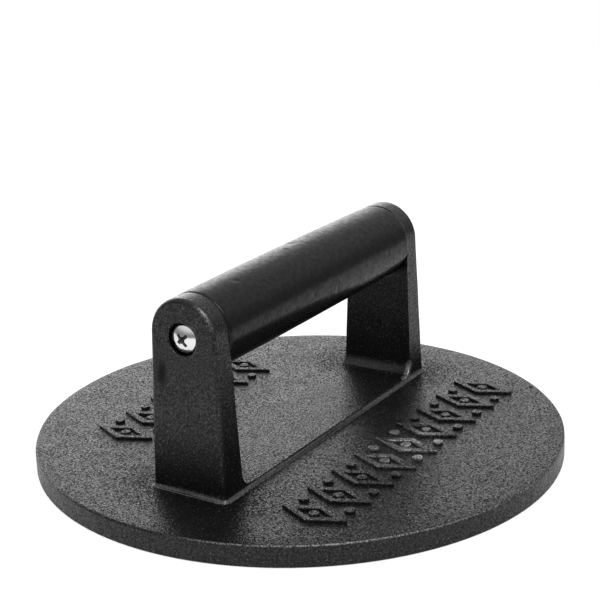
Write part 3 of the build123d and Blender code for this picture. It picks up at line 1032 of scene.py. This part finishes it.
# %% Casting: where it is rubbed
RUBBED = [
    # centre, reach, how much
    ((53.0, -13.0, 10.0), 5.0, 2.5),
    ((-64.5, -8.0, 65.5), 6.0, 0.55),
]
RIM_RUB = 0.30
RIM_RUB_MM = Vector((-43.6, -78.7, PLATE_TOP_MM))
RIM_RUB_REACH_MM, RIM_RUB_FULL_MM = 84.0, 66.0
RIM_WIDTH_MM = 2.0
SCOURED_MM = Vector((-3.0, -41.0, PLATE_TOP_MM))
SCOURED_REACH_MM, SCOURED_FULL_MM = 22.0, 8.0
STRIP_AND_FEET_MM = 20.0


def on_ornament(p):
    """Whether a place lies on the raised ornament."""
    return PLATE_TOP_MM + 0.3 < p.z < PLATE_TOP_MM + 1.2 and abs(p.y) > STRIP_AND_FEET_MM + 5.0


def on_rim(p, normal):
    """Whether a place lies on the rounded upper edge of the plate."""
    at_edge = math.hypot(p.x, p.y) > PLATE_RADIUS_MM - RIM_WIDTH_MM
    return at_edge and p.z < PLATE_TOP_MM + 0.3 and 0.4 < normal.z < 0.94


def casting_rub(p, normal, sharp):
    """How much coating is rubbed off a place: the middle of the ornament most, the front of the rim less,
    two spots.
    """
    rub = 0.0
    for centre, reach, much in RUBBED:
        near = 1.0 - (p - Vector(centre)).length / reach
        rub = max(rub, min(2.0 * near, 1.0) * much * sharp)
    if on_rim(p, normal):
        rub = RIM_RUB * ramp((p - RIM_RUB_MM).length, RIM_RUB_REACH_MM, RIM_RUB_FULL_MM) * sharp
    if on_ornament(p):
        scoured = ramp((p - SCOURED_MM).length, SCOURED_REACH_MM, SCOURED_FULL_MM)
        rub = 0.04 * scoured + (0.05 + 0.75 * scoured) * sharp
    return min(rub, 1.0)


print("the ornament is scoured round", tuple(SCOURED_MM))

# %% Casting: where it is gritty, and where the coating pooled, with a painted highlight
ORNAMENT_GRIT = 1.35
WALL_GRIT = 0.7
ARCH_GRIT = 0.4
# How much painted highlight the pooled corners get, along the strip and at the feet.
STRIP_PAINTED_HIGHLIGHT = 0.12
FOOT_PAINTED_HIGHLIGHT = 0.15
FOOT_START_MM, FOOT_FULL_MM = 44.0, 54.0
ROOT_RADIUS_MM = 1.25


def casting_grit(p, normal):
    """How coarse the cast skin is: most on the ornament, less on walls, least on the arches."""
    if on_ornament(p):
        return ORNAMENT_GRIT
    if p.z < PLATE_TOP_MM + 2.0:
        return WALL_GRIT + (1 - WALL_GRIT) * ramp(normal.z, 0.3, 0.9)
    return WALL_GRIT + (ARCH_GRIT - WALL_GRIT) * ramp(normal.z, 0.1, 0.4)


def pooled_corner_highlight(p):
    """Where coating pools round the strip and the feet, and the painted highlight there, most at the
    feet.
    """
    if abs(p.y) > STRIP_AND_FEET_MM or p.z > PLATE_TOP_MM + ROOT_RADIUS_MM:
        return 0.0
    return STRIP_PAINTED_HIGHLIGHT + (FOOT_PAINTED_HIGHLIGHT - STRIP_PAINTED_HIGHLIGHT) * ramp(abs(p.x), FOOT_START_MM, FOOT_FULL_MM)


give_wear(casting_mesh, casting_rub, casting_grit, pooled_corner_highlight)

# %% Casting: softer corners and rim
ROOT_FILL = 0.75
ROLL_WIDTH_MM = 5.0
ROLL_DEPTH_MM = 0.18


def ease_root(mesh):
    """Fills the round corner at the root of the strip and the feet most of the way to a slope."""
    shape = bmesh.new()
    shape.from_mesh(mesh)
    shape.normal_update()
    moved = 0
    for vert in shape.verts:
        x, y, z = vert.co / MM
        if PLATE_TOP_MM < z < PLATE_TOP_MM + ROOT_RADIUS_MM and abs(y) < STRIP_AND_FEET_MM:
            tilt = math.asin(min(max(vert.normal.z, 0.0), 1.0)) - math.pi / 4
            to_slope = ROOT_RADIUS_MM * (1 - math.cos(math.pi / 4) / math.cos(tilt))
            mesh.vertices[vert.index].co += vert.normal * max(to_slope, 0.0) * ROOT_FILL * MM
            moved += 1
    shape.free()
    print("root points:", moved)


def roll_off(mesh):
    """Lets the plate's top sink a little towards its edge, as a casting's does."""
    for vert in mesh.vertices:
        x, y, z = vert.co / MM
        near_edge = ramp(math.hypot(x, y), PLATE_RADIUS_MM - ROLL_WIDTH_MM, PLATE_RADIUS_MM)
        near_top = ramp(z, PLATE_TOP_MM / 2, PLATE_TOP_MM)
        vert.co.z -= ROLL_DEPTH_MM * near_edge**2 * near_top * MM


ease_root(casting_mesh)
roll_off(casting_mesh)

# %% [markdown]
# ## Dressing the casting
# The eased mesh gets its soft skin, with waves of up to about a tenth of a millimetre. The underside
# is ground flat to meet the food, and the screw holes and the pads for the rod are machined, so none
# of them takes the waves. Each of them fades the push over a millimetre or two.

# %% Casting: soft skin everywhere but on machined faces
PAD_X_MM = 55.97
PAD_RADIUS_MM = 13.35
COUNTERBORE_RADIUS_MM = 5.5
HOLE_FADE_MM = 2.0
UNDERSIDE_FADE_MM = 1.0
STAYS_TRUE_MM = 0.3


def casting_share(p):
    """None of the push under the plate or in the drilled holes, all of it elsewhere."""
    from_axis = math.hypot(p.y, p.z - GRIP_AXIS_Z_MM)
    hole_reach = PAD_RADIUS_MM if abs(p.x) < PAD_X_MM + 0.1 else COUNTERBORE_RADIUS_MM
    clear_of_holes = min(max((from_axis - hole_reach - STAYS_TRUE_MM) / HOLE_FADE_MM, 0.0), 1.0)
    clear_of_underside = min(max((p.z - STAYS_TRUE_MM) / UNDERSIDE_FADE_MM, 0.0), 1.0)
    return clear_of_holes * clear_of_underside


give_skin(casting_mesh, casting_share)
casting = skinned("cast_iron_press", casting_mesh, {
    "Wave Height": 0.30 * MM, "Wave Length": 13.0 * MM,
    "Ripple Height": 0.05 * MM, "Ripple Length": 3.2 * MM,
    "Seed": 3.0, "Finish": coated_iron,
})
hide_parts("press_casting")
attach(casting, "press")

# %% [markdown]
# ## The grip
# The grip is a moulded tube, turned here like work on a lathe: an outline of length and radius is
# swept round the axis. The outline runs along the outside, over the rounded end, back through the
# bore and out again, so that the tube has a wall and no open seam. It swells a little in the middle,
# as the photograph's outline does, and its ends are well rounded, so the gaps catch some light.

# %% Grip: outline
GRIP_HALF_MM = 55.9
GRIP_RADIUS_MM = 12.85
GRIP_SWELL_MM = 0.28
BORE_RADIUS_MM = 9.5
END_ROUND_MM = 1.0
MOUTH_CHAMFER_MM = 0.4
ALONG_OUTSIDE = 156
BORE_HALF_MM, ALONG_BORE = 40.0, 9


def grip_radius(x):
    """The radius at a place along the grip. It swells a little towards the middle, to fill the hand."""
    return GRIP_RADIUS_MM + GRIP_SWELL_MM * (1 - (x / GRIP_HALF_MM) ** 2)


def grip_outline():
    """The wall's outline as (x, radius), once round, starting on the outside at the left end."""
    flat_half = GRIP_HALF_MM - END_ROUND_MM
    outside = [
        (float(x), grip_radius(float(x))) for x in np.linspace(-flat_half, flat_half, ALONG_OUTSIDE)
    ]
    quarter = [math.radians(a) for a in range(15, 91, 15)]
    right_end = [
        (flat_half + END_ROUND_MM * math.sin(a), GRIP_RADIUS_MM - END_ROUND_MM * (1 - math.cos(a)))
        for a in quarter
    ]
    mouth = [
        (GRIP_HALF_MM, BORE_RADIUS_MM + MOUTH_CHAMFER_MM),
        (GRIP_HALF_MM - MOUTH_CHAMFER_MM, BORE_RADIUS_MM),
    ]
    bore = [(float(x), BORE_RADIUS_MM) for x in np.linspace(BORE_HALF_MM, -BORE_HALF_MM, ALONG_BORE)]
    left_mouth = [(-x, r) for x, r in reversed(mouth)]
    left_end = [(-x, r) for x, r in reversed(right_end)]
    return outside + right_end + mouth + bore + left_mouth + left_end


print("grip outline:", len(grip_outline()), "points")

# %% Grip: turned on a lathe
AROUND = 144


def lathe(name, outline, steps):
    """Sweeps an outline round the grip's axis."""
    shape = bmesh.new()
    rings = []
    for x, radius in outline:
        ring = []
        for i in range(steps):
            angle = i * math.tau / steps
            ring.append(shape.verts.new((
                x * MM, radius * math.cos(angle) * MM, (GRIP_AXIS_Z_MM + radius * math.sin(angle)) * MM)))
        rings.append(ring)
    for ring, following in zip(rings, rings[1:] + rings[:1]):
        for i in range(steps):
            j = (i + 1) % steps
            shape.faces.new((ring[i], ring[j], following[j], following[i]))
    bmesh.ops.recalc_face_normals(shape, faces=shape.faces)
    mesh = bpy.data.meshes.new(name)
    shape.to_mesh(mesh)
    shape.free()
    return mesh


grip_mesh = lathe("grip_turned", grip_outline(), AROUND)
print("grip:", len(grip_mesh.polygons), "faces")

# %% Grip: nicks and dents
def on_grip(x, angle_deg):
    """A place on the grip's outside, and the way in towards its axis."""
    angle = math.radians(angle_deg)
    out = Vector((0.0, math.cos(angle), math.sin(angle)))
    return Vector((x, 0.0, GRIP_AXIS_Z_MM)) + out * grip_radius(x), -out


NICKS = [
    # along the grip, angle round it in degrees, reach, depth
    (1.5, 82.0, (3.0, 3.0, 3.0), 0.30),
    (-4.5, 88.0, (2.2, 2.2, 2.2), -0.15),
    (-19.2, 152.0, (0.8, 3.0, 3.0), 0.10),
    (-39.3, 107.0, (1.6, 1.2, 1.2), 0.20),
    (-8.8, 179.6, (1.3, 1.3, 1.3), 0.25),
    (6.0, 190.0, (0.9, 2.6, 2.6), 0.15),
    (40.6, 177.0, (1.6, 1.0, 1.0), 0.20),
    (31.2, 128.0, (1.4, 2.0, 2.0), 0.12),
]
nicks = []
for x, angle, reach, depth in NICKS:
    place, inward = on_grip(x, angle)
    nicks.append((place, reach, inward, depth))
push_marks(grip_mesh, nicks)
print(len(nicks), "nicks and dents")

# %% Grip: soft skin on the outside
def grip_share(p):
    """The bore stays true, so that the bushes fit."""
    return 1.0 if math.hypot(p.y, p.z - GRIP_AXIS_Z_MM) > BORE_RADIUS_MM + 1.0 else 0.0


give_skin(grip_mesh, grip_share)
grip = skinned("moulded_grip", grip_mesh, {
    "Wave Height": 0.10 * MM, "Wave Length": 11.0 * MM,
    "Ripple Height": 0.05 * MM, "Ripple Length": 4.0 * MM,
    "Seed": 8.0, "Finish": moulded_black,
})
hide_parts("grip_sleeve")
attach(grip, "grip")
